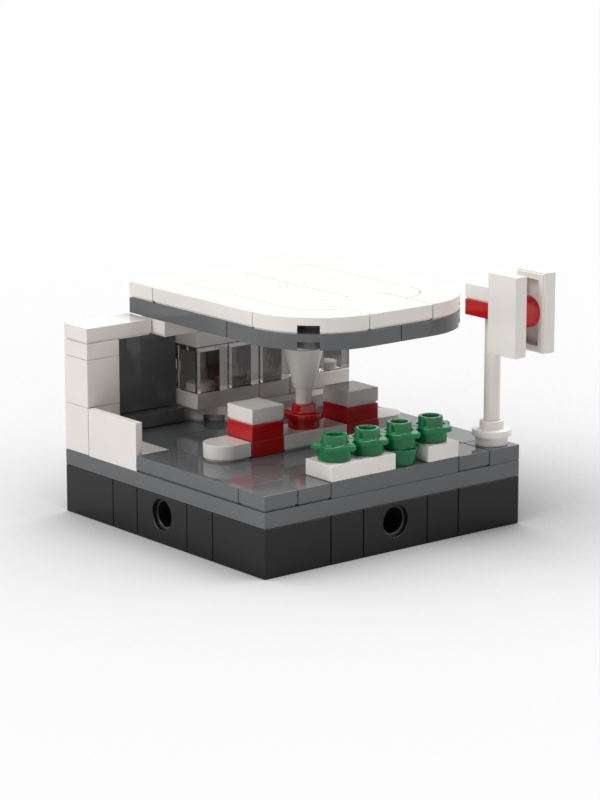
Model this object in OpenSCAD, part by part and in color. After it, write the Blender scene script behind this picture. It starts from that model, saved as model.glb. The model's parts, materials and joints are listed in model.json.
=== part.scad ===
// Toy service station built from studded pieces on a square base: a forecourt
// with a pump island, planters and a swivelling sign, a glazed rear wall and a
// rounded roof that lifts off. Millimetres, Z up, X along the street front.

/* [Grid] */
// distance from one stud to the next
stud_pitch = 8; // [7.8:0.1:8.6]
// height of a plate; a brick is three plates
plate_h = 3.2; // [3.1:0.05:3.6]
// how far a piece stays inside its grid cell on each side
piece_inset = 0.1; // [0.05:0.01:0.16]

/* [Studs] */
// diameter of a stud
stud_d = 4.8; // [4.6:0.05:4.9]
// height of a stud
stud_h = 1.7; // [1.5:0.05:1.8]
// play between a stud and whatever grips it
clutch_gap = 0.05; // [0.02:0.01:0.08]
// thickness of the top of a plate, a tile or a brick
skin_t = 1.2; // [0.9:0.05:1.25]

/* [Tile foot] */
// height of the groove around the foot of a tile
groove_h = 0.35; // [0.2:0.05:0.5]
// depth of the groove around the foot of a tile
groove_in = 0.3; // [0.15:0.05:0.5]

/* [Base bricks] */
// diameter of the pin hole
pin_hole_d = 4.8; // [4.6:0.05:5]
// diameter of the shallow rim around the pin hole
pin_rim_d = 6.2; // [5.8:0.1:6.4]
// depth of that rim
pin_rim_depth = 0.9; // [0.6:0.1:1.1]
// height of the pin hole above the ground
pin_hole_z = 5.8; // [5.4:0.1:6]

/* [Round pieces] */
// diameter of bars: the sign pole and the foot of the cone
bar_d = 3.2; // [3:0.05:3.3]
// play between a bar and the hollow stud it stands in
bar_gap = 0.05; // [0.02:0.01:0.1]
// diameter of the stem under a round plate
stem_d = 6.4; // [6.2:0.1:6.6]
// height of the stem of a plain round plate
stem_h = 1.8; // [1.5:0.1:2]
// height of the stem of a flower plate
flower_stem_h = 2.2; // [2:0.1:2.4]
// reach of the petals from the middle
petal_reach = 4.6; // [4.4:0.05:4.65]
// width of a petal
petal_w = 2.85; // [2.6:0.05:2.9]
// reach of the shorter petals between the planter plates
low_petal_reach = 4.15; // [3.9:0.05:4.15]
// diameter of the cone where it meets its foot
cone_foot_d = 4; // [3.6:0.1:5]
// height of the tapered part of the cone
cone_h = 8; // [7:0.1:9]

/* [Walls] */
// thickness of the low panel
low_panel_t = 1.5; // [1.2:0.1:2]
// thickness of the upright back of the bracket
bracket_t = 1.8; // [1.5:0.1:2]

/* [Sign] */
// outer diameter of the ring on the sign arm
ring_d = 6.3; // [6.1:0.1:6.8]
// width of the ring, which is the gap between the boards
ring_w = 4; // [3.6:0.1:4.4]
// height of the ring's middle above the underside of its plate
ring_z = 1.9; // [1.5:0.1:2.2]
// thickness of the web between ring and plate
web_h = 2; // [1.5:0.1:2.6]
// depth of the socket for the pole in the ringed plate
pole_socket = 2; // [1.6:0.1:2.2]

/* [Hidden] */
$fn = 64;
base_n = 8;
wall_t = stud_pitch / 2 - piece_inset - stud_d / 2 - clutch_gap;
tube_d = stud_pitch * sqrt(2) - stud_d - 2 * clutch_gap;
tube_bore_d = stud_d + 2 * clutch_gap;
rib_d = stud_pitch - stud_d - 2 * clutch_gap;
grip_d = stud_d + 2 * clutch_gap;
stud_room = stud_h + clutch_gap;
bar_bore_d = bar_d + 2 * bar_gap;
notch_w = grip_d;
eps = 0.01;
// levels, as a number of plates from the ground
slab_n = 3;
floor_n = 4;
ground_n = 5;
step_n = 6;
glass_n = 7;
head_n = 10;
beam_n = 11;
roof_n = 12;
rim_n = 13;
// two upright cells fill the plates between the bracket's foot and the beam
upright_pitch = (beam_n - step_n) * plate_h / 2;

function gx(i) = (i - base_n / 2) * stud_pitch;
function gy(j) = (j - base_n / 2) * stud_pitch;
function gz(k) = k * plate_h;

white = [0.95, 0.94, 0.91];
grey = [0.40, 0.42, 0.44];
black = [0.12, 0.12, 0.13];
red = [0.70, 0.05, 0.05];
green = [0.06, 0.45, 0.22];
clear = [0.85, 0.90, 0.92, 0.4];

base_corner_bricks();
base_single_bricks();
base_pin_bricks();
base_plate();
floor_corner_tile();
floor_edge_tiles();
floor_front_tiles();
floor_front_plate();
floor_sign_plate();
floor_drive_tile_front();
floor_island_plate();
floor_drive_tile_rear();
floor_rear_single_tile();
floor_rear_tile();
floor_bracket_plate();
floor_wall_plate_wide();
floor_wall_plate_narrow();
planter_plate_long();
planter_plate_short();
flower_1();
flower_2();
flower_3();
flower_4();
flower_low();
island_end_tiles();
island_jumper();
pump_lower_plates();
pump_upper_plates();
pump_heads();
column_foot();
column_cone();
column_cap();
sign_foot();
sign_pole();
sign_ring_plate();
sign_top_tile();
sign_boards();
sign_sleeve();
corner_post_lower();
corner_post_upper();
corner_post_plate();
corner_post_tile();
low_panel();
bracket();
upright_tile();
wall_corner_tile();
wall_jumpers();
sill_long_plates();
sill_short_plate();
glass_bricks();
header_plates();
beam_jumpers();
roof_corner_plates();
roof_rear_plate();
roof_curved_tiles();
roof_quarter_tiles();
roof_square_tiles();
roof_side_tiles();
roof_rear_tile();

// plain box n by m cells, inset on every side
module cell_box(n, m, inset, h, pitch_y = stud_pitch) {
  translate([inset, inset, 0])
    cube([n * stud_pitch - 2 * inset, m * pitch_y - 2 * inset, h]);
}

module stud(x, y, z) {
  translate([x, y, z - eps]) cylinder(d = stud_d, h = stud_h + eps);
}

module stud_rows(n, m, z) {
  for (a = [0 : n - 1], b = [0 : m - 1])
    stud((a + 0.5) * stud_pitch, (b + 0.5) * stud_pitch, z);
}

// tubes between four studs, or ribs between two, that grip the studs below
module grips(n, m, depth, pitch_y = stud_pitch) {
  outer_d = norm([stud_pitch, pitch_y]) - grip_d;
  if (n > 1 && m > 1)
    for (a = [1 : n - 1], b = [1 : m - 1])
      translate([a * stud_pitch, b * pitch_y, 0]) tube(outer_d, tube_bore_d, depth + eps);
  if (n > 1 && m == 1)
    for (a = [1 : n - 1])
      translate([a * stud_pitch, stud_pitch / 2, 0]) cylinder(d = rib_d, h = depth + eps);
  if (m > 1 && n == 1)
    for (b = [1 : m - 1])
      translate([stud_pitch / 2, b * stud_pitch, 0]) cylinder(d = rib_d, h = depth + eps);
}

module tube(outer_d, inner_d, h) {
  difference() {
    cylinder(d = outer_d, h = h);
    translate([0, 0, -1]) cylinder(d = inner_d, h = h + 2);
  }
}

module hollow_block(n, m, plates, grooved, pitch_y = stud_pitch) {
  h = plates * plate_h;
  difference() {
    cell_box(n, m, piece_inset, h, pitch_y);
    translate([0, 0, -eps]) cell_box(n, m, piece_inset + wall_t, h - skin_t + eps, pitch_y);
    if (grooved)
      translate([0, 0, -eps]) difference() {
        cell_box(n, m, -1, groove_h + eps, pitch_y);
        translate([0, 0, -1]) cell_box(n, m, piece_inset + groove_in, groove_h + 2, pitch_y);
      }
  }
  grips(n, m, h - skin_t, pitch_y);
}

module place(i, j, k) {
  translate([gx(i), gy(j), gz(k)]) children();
}

module plate(i, j, k, n, m) {
  place(i, j, k) {
    hollow_block(n, m, 1, false);
    stud_rows(n, m, plate_h);
  }
}

module tile(i, j, k, n, m) {
  place(i, j, k) hollow_block(n, m, 1, true);
}

// grooved plate with a single stud in its middle
module jumper(i, j, k, n, m) {
  place(i, j, k) {
    hollow_block(n, m, 1, true);
    stud(n * stud_pitch / 2, m * stud_pitch / 2, plate_h);
  }
}

module brick(i, j, k, n, m) {
  place(i, j, k) {
    hollow_block(n, m, 3, false);
    stud_rows(n, m, 3 * plate_h);
  }
}

// two-stud brick along X with a pin hole through its middle
module pin_brick() {
  h = 3 * plate_h;
  boss_w = pin_rim_d + 1.2;
  pocket_z = stud_h + 0.3;
  difference() {
    cell_box(2, 1, piece_inset, h);
    translate([0, 0, -eps]) cell_box(2, 1, piece_inset + wall_t, pocket_z + eps);
    for (side = [0, 1])
      translate([side ? stud_pitch + boss_w / 2 : piece_inset + wall_t,
                 piece_inset + wall_t, pocket_z - eps])
        cube([stud_pitch - boss_w / 2 - piece_inset - wall_t,
              stud_pitch - 2 * (piece_inset + wall_t), h - skin_t - pocket_z]);
    translate([stud_pitch, -1, pin_hole_z]) rotate([-90, 0, 0])
      cylinder(d = pin_hole_d, h = stud_pitch + 2);
    for (y0 = [piece_inset - 1, stud_pitch - piece_inset - pin_rim_depth])
      translate([stud_pitch, y0, pin_hole_z]) rotate([-90, 0, 0])
        cylinder(d = pin_rim_d, h = pin_rim_depth + 1);
  }
  stud_rows(2, 1, h);
}

// n by n cells with the corner at the origin rounded to r cells
module round_corner_solid(n, r, inset, h) {
  p = stud_pitch;
  translate([r * p, inset, 0]) cube([(n - r) * p - inset, n * p - 2 * inset, h]);
  translate([inset, r * p, 0]) cube([n * p - 2 * inset, (n - r) * p - inset, h]);
  quarter_disc(r, r * p - inset, h);
}

module quarter_disc(r, radius, h) {
  p = stud_pitch;
  intersection() {
    translate([r * p, r * p, 0]) cylinder(r = radius, h = h);
    translate([-1, -1, -1]) cube([r * p + 1 + eps, r * p + 1 + eps, h + 2]);
  }
}

// slot through the rounded rim, as high as the stud that may stand there
module rim_notch(r) {
  p = stud_pitch;
  translate([r * p, r * p, -eps]) rotate([0, 0, 225])
    translate([r * p - piece_inset - wall_t - 1, -notch_w / 2, 0])
      cube([wall_t + 3, notch_w, stud_room + eps]);
}

module round_corner_plate() {
  depth = plate_h - skin_t;
  difference() {
    round_corner_solid(3, 2, piece_inset, plate_h);
    translate([0, 0, -eps])
      round_corner_solid(3, 2, piece_inset + wall_t, depth + eps);
    rim_notch(2);
  }
  difference() {
    grips(3, 3, depth);
    rim_notch(2);
  }
  for (a = [0 : 2], b = [0 : 2])
    if (a + b > 0) stud((a + 0.5) * stud_pitch, (b + 0.5) * stud_pitch, plate_h);
}

// quarter ring tile, two cells wide outside and one cell inside
module curved_tile() {
  p = stud_pitch;
  difference() {
    ring_sector(piece_inset, 0, plate_h);
    translate([0, 0, -eps])
      ring_sector(piece_inset + wall_t, wall_t, plate_h - skin_t + eps);
    translate([0, 0, -eps]) difference() {
      translate([-1, -1, 0]) cube([2 * p + 2, 2 * p + 2, groove_h + eps]);
      translate([0, 0, -1]) ring_sector(piece_inset + groove_in, groove_in, groove_h + 3);
    }
    for (c = [[0.5, 1.5], [1.5, 0.5]])
      translate([c[0] * p, c[1] * p, -eps]) cylinder(d = grip_d, h = stud_room + eps);
    rim_notch(2);
  }
}

module ring_sector(inset, end_inset, h) {
  p = stud_pitch;
  intersection() {
    translate([2 * p, 2 * p, 0]) difference() {
      cylinder(r = 2 * p - inset, h = h);
      translate([0, 0, -1]) cylinder(r = p + inset, h = h + 2);
    }
    translate([-1, -1, -1])
      cube([2 * p + 1 - piece_inset - end_inset, 2 * p + 1 - piece_inset - end_inset, h + 2]);
  }
}

// single-cell quarter disc tile
module quarter_tile() {
  p = stud_pitch;
  difference() {
    intersection() {
      translate([p, p, 0]) cylinder(r = p - piece_inset, h = plate_h);
      translate([-1, -1, -1])
        cube([p + 1 - piece_inset, p + 1 - piece_inset, plate_h + 2]);
    }
    translate([p / 2, p / 2, -eps]) cylinder(d = grip_d, h = stud_room + eps);
    translate([0, 0, -eps]) difference() {
      translate([-1, -1, 0]) cube([p + 2, p + 2, groove_h + eps]);
      intersection() {
        translate([p, p, -1]) cylinder(r = p - piece_inset - groove_in, h = groove_h + 3);
        translate([-1, -1, -1])
          cube([p + 1 - piece_inset - groove_in, p + 1 - piece_inset - groove_in,
                groove_h + 3]);
      }
    }
  }
}

// single-cell tile whose end towards -X is a half disc
module half_round_solid(inset, h) {
  p = stud_pitch;
  translate([p / 2, p / 2, 0]) cylinder(r = p / 2 - inset, h = h);
  translate([p / 2, inset, 0]) cube([p / 2 - inset, p - 2 * inset, h]);
}

module half_round_tile() {
  difference() {
    half_round_solid(piece_inset, plate_h);
    translate([0, 0, -eps])
      half_round_solid(piece_inset + wall_t, plate_h - skin_t + eps);
    translate([0, 0, -eps]) difference() {
      cell_box(1, 1, -1, groove_h + eps);
      translate([0, 0, -1]) half_round_solid(piece_inset + groove_in, groove_h + 3);
    }
  }
}

// underside recess and bore shared by the round plates
module round_plate_hollow() {
  translate([0, 0, -eps]) cylinder(d = grip_d, h = plate_h - skin_t + eps);
  cylinder(d = bar_bore_d, h = plate_h + stud_h + 1);
}

module round_plate() {
  flange_d = stud_pitch - 2 * piece_inset;
  difference() {
    union() {
      cylinder(d = stem_d, h = stem_h + eps);
      translate([0, 0, stem_h]) cylinder(d = flange_d, h = plate_h - stem_h);
      translate([0, 0, plate_h - eps]) cylinder(d = stud_d, h = stud_h + eps);
    }
    round_plate_hollow();
  }
}

module flower_plate(reach, width, turn) {
  difference() {
    union() {
      cylinder(d = stem_d, h = plate_h);
      translate([0, 0, flower_stem_h]) petals(reach, width, turn, plate_h - flower_stem_h);
      translate([0, 0, plate_h - eps]) cylinder(d = stud_d, h = stud_h + eps);
    }
    round_plate_hollow();
  }
}

// five round lobes that grow out of the stem
module petals(reach, width, turn, h) {
  rooted_d = (stem_d + grip_d) / 2;
  difference() {
    for (a = [0 : 4]) rotate([0, 0, turn + 72 * a])
      translate([reach - width / 2, 0, 0]) cylinder(d = width, h = h);
    translate([0, 0, -1]) cylinder(d = rooted_d, h = h + 2);
  }
}

module flower_at(i, k, reach, width, turn) {
  place(i + 0.5, 0.5, k) flower_plate(reach, width, turn);
}

// base
module base_corner_bricks() {
  color(black)
    for (i = [0, base_n - 2], j = [0, base_n - 2]) brick(i, j, 0, 2, 2);
}

module base_single_bricks() {
  color(black) for (a = [2, base_n - 3], b = [0, base_n - 1]) {
    brick(a, b, 0, 1, 1);
    brick(b, a, 0, 1, 1);
  }
}

module base_pin_bricks() {
  mid = base_n / 2 - 1;
  color(black) {
    place(mid, 0, 0) pin_brick();
    place(mid, base_n - 1, 0) pin_brick();
    place(1, mid, 0) rotate([0, 0, 90]) pin_brick();
    place(base_n, mid, 0) rotate([0, 0, 90]) pin_brick();
  }
}

module base_plate() {
  color(grey) plate(0, 0, slab_n, base_n, base_n);
}

// forecourt floor
module floor_corner_tile() {
  color(grey) tile(0, 0, floor_n, 1, 1);
}

module floor_edge_tiles() {
  color(grey) {
    tile(0, 1, floor_n, 1, 4);
    tile(7, 1, floor_n, 1, 4);
  }
}

module floor_front_tiles() {
  color(grey) {
    tile(1, 0, floor_n, 1, 1);
    tile(6, 0, floor_n, 1, 1);
  }
}

module floor_front_plate() {
  color(grey) plate(2, 0, floor_n, 4, 1);
}

module floor_sign_plate() {
  color(grey) plate(7, 0, floor_n, 1, 1);
}

module floor_drive_tile_front() {
  color(grey) tile(1, 1, floor_n, 6, 2);
}

module floor_island_plate() {
  color(grey) plate(1, 3, floor_n, 6, 1);
}

module floor_drive_tile_rear() {
  color(grey) tile(1, 4, floor_n, 6, 2);
}

module floor_rear_single_tile() {
  color(grey) tile(7, 5, floor_n, 1, 1);
}

module floor_rear_tile() {
  color(grey) tile(1, 6, floor_n, 2, 1);
}

module floor_bracket_plate() {
  color(grey) plate(1, 7, floor_n, 2, 1);
}

module floor_wall_plate_wide() {
  color(grey) plate(3, 6, floor_n, 3, 2);
}

module floor_wall_plate_narrow() {
  color(grey) plate(6, 6, floor_n, 2, 2);
}

// planters
module planter_plate_long() {
  color(white) plate(2, 0, ground_n, 2, 1);
}

module planter_plate_short() {
  color(white) plate(5, 0, ground_n, 1, 1);
}

module flower_1() {
  color(green) flower_at(2, step_n, petal_reach, petal_w, 0);
}

module flower_2() {
  color(green) flower_at(3, step_n, petal_reach, petal_w, 0);
}

module flower_3() {
  color(green) flower_at(4, step_n, petal_reach, petal_w, 0);
}

module flower_4() {
  color(green) flower_at(5, step_n, petal_reach, petal_w, 0);
}

module flower_low() {
  color(green) flower_at(4, ground_n, low_petal_reach, petal_w - 0.45, -90);
}

// pump island
module island_end_tiles() {
  color(white) {
    place(1, 3, ground_n) half_round_tile();
    place(7, 3, ground_n) mirror([1, 0, 0]) half_round_tile();
  }
}

module island_jumper() {
  color(white) jumper(3, 3, ground_n, 2, 1);
}

module pump_lower_plates() {
  color(red) for (i = [2, 5]) plate(i, 3, ground_n, 1, 1);
}

module pump_upper_plates() {
  color(red) for (i = [2, 5]) plate(i, 3, step_n, 1, 1);
}

module pump_heads() {
  color(white) for (i = [2, 5]) tile(i, 3, glass_n, 1, 1);
}

module column_foot() {
  color(red) place(4, 3.5, step_n) round_plate();
}

// the foot stands on the jumper's stud inside the red round plate
module column_cone() {
  foot_z = gz(step_n) + stud_h;
  cone_z = gz(beam_n) - cone_h;
  color(white) translate([gx(4), gy(3.5), 0]) {
    translate([0, 0, foot_z]) cylinder(d = bar_d, h = cone_z - foot_z + eps);
    translate([0, 0, cone_z])
      cylinder(d1 = cone_foot_d, d2 = stud_pitch - 2 * piece_inset, h = cone_h);
    stud(0, 0, gz(beam_n));
  }
}

module column_cap() {
  cap_d = stud_pitch - 2 * piece_inset;
  color(white) place(4, 3.5, beam_n) difference() {
    cylinder(d = cap_d, h = plate_h);
    translate([0, 0, -eps]) cylinder(d = grip_d, h = plate_h - skin_t + eps);
    translate([0, 0, -eps]) tube(cap_d + 2, cap_d - 2 * groove_in, groove_h + eps);
  }
}

// sign
module sign_foot() {
  color(white) place(7.5, 0.5, ground_n) round_plate();
}

// the pole stands on the stud of the plate below its round foot
module sign_pole() {
  pole_z = gz(ground_n) + stud_h;
  color(white) translate([gx(7.5), gy(0.5), pole_z])
    cylinder(d = bar_d, h = gz(rim_n) + pole_socket - pole_z);
}

module sign_ring_plate() {
  ring_y = -stud_pitch / 2;
  mid = stud_pitch / 2;
  color(red) place(7, 0, rim_n) {
    difference() {
      cell_box(1, 1, piece_inset, plate_h);
      translate([mid, mid, -eps]) cylinder(d = bar_d, h = pole_socket + eps);
    }
    stud(mid, mid, plate_h);
    difference() {
      union() {
        translate([mid - ring_w / 2, ring_y, ring_z]) rotate([0, 90, 0])
          cylinder(d = ring_d, h = ring_w);
        translate([mid - ring_w / 2, ring_y, ring_z - web_h / 2])
          cube([ring_w, piece_inset + 0.2 - ring_y, web_h]);
      }
      translate([0, ring_y, ring_z]) rotate([0, 90, 0])
        cylinder(d = grip_d, h = stud_pitch);
    }
  }
}

module sign_top_tile() {
  color(white) tile(7, 0, rim_n + 1, 1, 1);
}

// two upright tiles with their undersides against the ring
module sign_boards() {
  color(white) translate([gx(7.5), gy(0) - stud_pitch / 2, gz(rim_n) + ring_z])
    for (side = [0, 180]) rotate([0, 0, side])
      translate([ring_w / 2, 0, 0]) rotate([0, 90, 0])
        translate([-stud_pitch, -stud_pitch / 2, 0]) hollow_block(2, 1, 1, true);
}

// hollow sleeve through the ring that the boards clutch
module sign_sleeve() {
  len = ring_w + 2 * stud_h;
  color(white) translate([gx(7.5) - len / 2, gy(0) - stud_pitch / 2, gz(rim_n) + ring_z])
    rotate([0, 90, 0]) tube(stud_d, rib_d + 2 * clutch_gap, len);
}

// walls
module corner_post_lower() {
  color(white) brick(0, 7, floor_n, 1, 1);
}

module corner_post_upper() {
  color(white) brick(0, 7, glass_n, 1, 1);
}

module corner_post_plate() {
  color(white) plate(0, 7, head_n, 1, 1);
}

module corner_post_tile() {
  color(white) tile(0, 7, beam_n, 2, 1);
}

module low_panel() {
  color(white) {
    place(0, 5, floor_n) hollow_block(1, 2, 1, false);
    place(0, 5, floor_n) translate([piece_inset, piece_inset, plate_h - eps])
      cube([low_panel_t, 2 * stud_pitch - 2 * piece_inset, 2 * plate_h + eps]);
  }
}

// smooth plate with an upright back that carries four studs
module bracket() {
  back_y = stud_pitch - piece_inset - bracket_t;
  color(grey) place(1, 7, ground_n) {
    hollow_block(2, 1, 1, true);
    translate([piece_inset, back_y, plate_h - eps])
      cube([2 * stud_pitch - 2 * piece_inset, bracket_t, 2 * upright_pitch + eps]);
    for (a = [0.5, 1.5], b = [0.5, 1.5])
      translate([a * stud_pitch, back_y + eps, plate_h + b * upright_pitch])
        rotate([90, 0, 0]) cylinder(d = stud_d, h = stud_h + eps);
  }
}

module upright_tile() {
  back_y = stud_pitch - piece_inset - bracket_t;
  color(grey) place(1, 7, step_n) translate([0, back_y, 0]) rotate([90, 0, 0])
    hollow_block(2, 2, 1, true, upright_pitch);
}

module wall_corner_tile() {
  p = stud_pitch;
  depth = plate_h - skin_t;
  color(white) place(3, 6, ground_n) difference() {
    quarter_plain(piece_inset, plate_h);
    translate([0, 0, -eps]) difference() {
      quarter_plain(piece_inset + wall_t, depth + eps);
      translate([p, p, -1]) cylinder(d = tube_d, h = depth + 3);
    }
    for (c = [[0.5, 1.5], [1.5, 0.5], [0.5, 0.5], [1.5, 1.5]])
      translate([c[0] * p, c[1] * p, -eps]) cylinder(d = grip_d, h = stud_room + eps);
    translate([p, p, -eps]) cylinder(d = tube_bore_d, h = depth + eps);
    translate([0, 0, -eps]) difference() {
      translate([-1, -1, 0]) cube([2 * p + 2, 2 * p + 2, groove_h + eps]);
      translate([0, 0, -1]) quarter_plain(piece_inset + groove_in, groove_h + 3);
    }
  }
}

module quarter_plain(inset, h) {
  p = stud_pitch;
  intersection() {
    translate([2 * p, 2 * p, 0]) cylinder(r = 2 * p - inset, h = h);
    translate([-1, -1, -1]) cube([2 * p + 1 - inset, 2 * p + 1 - inset, h + 2]);
  }
}

module wall_jumpers() {
  color(white) for (i = [5 : 7]) jumper(i, 6, ground_n, 1, 2);
}

module sill_long_plates() {
  color(white) {
    plate(3, 6.5, step_n, 2, 1);
    plate(6, 6.5, step_n, 2, 1);
  }
}

module sill_short_plate() {
  color(white) plate(5, 6.5, step_n, 1, 1);
}

module glass_bricks() {
  color(clear) for (i = [3 : 7]) brick(i, 6.5, glass_n, 1, 1);
}

module header_plates() {
  color(white) {
    plate(3, 6.5, head_n, 3, 1);
    plate(6, 6.5, head_n, 2, 1);
  }
}

module beam_jumpers() {
  color(white) for (i = [2, 4, 6]) jumper(i, 6.5, beam_n, 2, 1);
}

// roof
module roof_corner_plates() {
  color(grey) {
    place(2, 1, roof_n) round_corner_plate();
    place(8, 1, roof_n) mirror([1, 0, 0]) round_corner_plate();
  }
}

module roof_rear_plate() {
  color(grey) plate(2, 4, roof_n, 6, 4);
}

module roof_curved_tiles() {
  color(white) {
    place(2, 1, rim_n) curved_tile();
    place(8, 1, rim_n) mirror([1, 0, 0]) curved_tile();
  }
}

module roof_quarter_tiles() {
  color(white) {
    place(3, 2, rim_n) quarter_tile();
    place(7, 2, rim_n) mirror([1, 0, 0]) quarter_tile();
  }
}

module roof_square_tiles() {
  color(white) {
    tile(4, 1, rim_n, 2, 2);
    for (i = [3, 5], j = [3, 5]) tile(i, j, rim_n, 2, 2);
  }
}

module roof_side_tiles() {
  color(white) for (i = [2, 7]) tile(i, 3, rim_n, 1, 4);
}

module roof_rear_tile() {
  color(white) tile(2, 7, rim_n, 6, 1);
}
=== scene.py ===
# %% [markdown]
# # A toy service station of studded plastic pieces
#
# The object is a small model built from clutching bricks, plates and tiles: a black
# base with a grey plate, a smooth forecourt, two pumps and a cone that carries a
# rounded canopy, a clear wall at the back, a planter of flower plates at the front
# and a sign on a pole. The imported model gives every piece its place, so this script
# only has to make each one look like moulded plastic. All lengths are metres.

# %% Load the frame
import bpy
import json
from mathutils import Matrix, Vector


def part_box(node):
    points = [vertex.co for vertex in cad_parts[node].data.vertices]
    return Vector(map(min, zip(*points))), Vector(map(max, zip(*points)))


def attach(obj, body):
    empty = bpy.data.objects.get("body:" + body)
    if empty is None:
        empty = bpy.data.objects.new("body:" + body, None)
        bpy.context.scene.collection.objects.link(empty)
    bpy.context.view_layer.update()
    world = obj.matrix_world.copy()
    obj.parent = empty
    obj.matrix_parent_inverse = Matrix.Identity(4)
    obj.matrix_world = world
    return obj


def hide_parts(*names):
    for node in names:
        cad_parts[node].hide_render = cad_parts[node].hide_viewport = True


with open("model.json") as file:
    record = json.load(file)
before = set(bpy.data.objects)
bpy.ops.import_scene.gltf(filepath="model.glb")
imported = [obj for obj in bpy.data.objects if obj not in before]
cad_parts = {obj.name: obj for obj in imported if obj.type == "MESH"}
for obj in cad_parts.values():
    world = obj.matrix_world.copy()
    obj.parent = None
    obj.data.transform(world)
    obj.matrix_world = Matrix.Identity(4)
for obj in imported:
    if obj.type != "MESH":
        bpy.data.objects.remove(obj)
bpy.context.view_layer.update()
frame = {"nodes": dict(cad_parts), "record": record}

# %% Modules used below
import json
import math

import bmesh
import bpy
from mathutils import Vector

# %% [markdown]
# ## The view
#
# The photograph was taken with a long lens from the left front, a little above the
# canopy. Its camera could be guessed by eye, but here it was worked out from the
# studs' 8 mm grid, so the object lands in the same place in the picture. The focal
# length is written as Blender wants it, in millimetres for a 36 mm sensor side. It is
# 0.65% longer than the fitted one, which drew the object that much too small.

# %% Place the camera
CAMERA_AT = Vector((-0.371756, -0.461559, 0.160957))
CAMERA_DOWN = math.radians(13.028)
CAMERA_TURN = math.radians(-39.024)
CAMERA_LENS = 138.87

bpy.ops.object.camera_add(location=CAMERA_AT, rotation=(math.pi / 2 - CAMERA_DOWN, 0, CAMERA_TURN))
camera = bpy.context.object
camera.name = "photo_camera"
camera.data.lens = CAMERA_LENS
camera.data.clip_start = 0.02
camera.data.clip_end = 20
bpy.context.scene.camera = camera
print("camera is", round(CAMERA_AT.length, 3), "m from the middle of the base")

# %% [markdown]
# ## The grid that every piece follows
#
# Pieces of this kind share one grid: studs stand 8 mm apart and a plate is 3.2 mm
# high. Typing those numbers again would let the looks drift from the frame, so they
# are measured on the frame's own nodes, and the radii come from the mounts in its
# record. What can't be measured there, such as the thickness of a top, is named here.

# %% Measure the grid
MOUNTS = {mount["name"]: mount for mount in frame["record"]["mounts"]}


def box_size(node):
    low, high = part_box(node)
    return high - low


def box_middle(node):
    low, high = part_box(node)
    return (low + high) / 2


PITCH = MOUNTS["flower_2_stud"]["pos_m"][0] - MOUNTS["flower_1_stud"]["pos_m"][0]
PLATE = box_size("floor_corner_tile").z
STUD_H = box_size("base_plate").z - PLATE
INSET = (8 * PITCH - box_size("base_plate").x) / 2
STUD_R = MOUNTS["flower_1_stud"]["dims"]["r_mm"] / 1000
BAR_BORE_R = MOUNTS["flower_1_bore"]["dims"]["r_mm"] / 1000
PIN_R = MOUNTS["pin_hole_front"]["dims"]["r_mm"] / 1000
GRIP_R = MOUNTS["base_tubes"]["dims"]["hole_r_mm"] / 1000
WALL = PITCH / 2 - INSET - GRIP_R
TUBE_R = PITCH * math.sqrt(2) / 2 - GRIP_R
RIB_R = PITCH / 2 - GRIP_R
SKIN = 0.0012
GROOVE_H = 0.0004
GROOVE_IN = 0.0003
SEAM = 0.00006
print("pitch %.2f plate %.2f stud %.2f x %.2f inset %.2f wall %.2f tube %.2f mm" % tuple(
    1000 * v for v in (PITCH, PLATE, STUD_R, STUD_H, INSET, WALL, TUBE_R)))

# %% [markdown]
# ## Hand tools
#
# Each piece starts as a primitive and is shaped in edit mode. An operator acts on
# whatever is selected, so the helpers below always deselect first and then pick
# faces or edges in code, by where they are and which way they face. Mouse clicks
# would do the same by eye, but wouldn't follow a change of size.

# %% Pick faces and edges
TINY = 0.00001


def deselect_all():
    bpy.ops.object.select_all(action="DESELECT")


def make_active(piece):
    deselect_all()
    piece.select_set(True)
    bpy.context.view_layer.objects.active = piece


def edit(piece):
    make_active(piece)
    bpy.ops.object.mode_set(mode="EDIT")


def leave_edit():
    bpy.ops.object.mode_set(mode="OBJECT")


def near(a, b):
    return abs(a - b) < TINY


def pick_faces(test):
    """Selects the faces for which test(middle, normal) is true."""
    bpy.ops.mesh.select_mode(type="FACE")
    bpy.ops.mesh.select_all(action="DESELECT")
    work = bmesh.from_edit_mesh(bpy.context.edit_object.data)
    work.normal_update()
    for face in work.faces:
        if test(face.calc_center_bounds(), face.normal):
            face.select_set(True)
    bmesh.update_edit_mesh(bpy.context.edit_object.data)


def pick_edges(test):
    """Selects the edges for which test(middle, direction) is true."""
    bpy.ops.mesh.select_mode(type="EDGE")
    bpy.ops.mesh.select_all(action="DESELECT")
    work = bmesh.from_edit_mesh(bpy.context.edit_object.data)
    for edge in work.edges:
        start, end = (corner.co for corner in edge.verts)
        if test((start + end) / 2, (end - start).normalized()):
            edge.select_set(True)
    bmesh.update_edit_mesh(bpy.context.edit_object.data)


# %% Start, join, copy and cut
def add_box(low, high):
    """A box between two corners, with its place in its mesh."""
    deselect_all()
    bpy.ops.mesh.primitive_cube_add(size=1, location=(low + high) / 2, scale=high - low)
    bpy.ops.object.transform_apply(location=True, rotation=True, scale=True)
    return bpy.context.object


def apply_modifier(piece, kind, **settings):
    modifier = piece.modifiers.new(kind.lower(), kind)
    for name, value in settings.items():
        setattr(modifier, name, value)
    make_active(piece)
    bpy.ops.object.modifier_apply(modifier=modifier.name)


def repeat(piece, count, step):
    """Copies the piece along step until there are count of it."""
    if count > 1:
        apply_modifier(piece, "ARRAY", count=count, use_relative_offset=False,
                       use_constant_offset=True, constant_offset_displace=step)


def join(parts):
    deselect_all()
    for part in parts:
        part.select_set(True)
    bpy.context.view_layer.objects.active = parts[0]
    if len(parts) > 1:
        bpy.ops.object.join()
    return bpy.context.object


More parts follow.
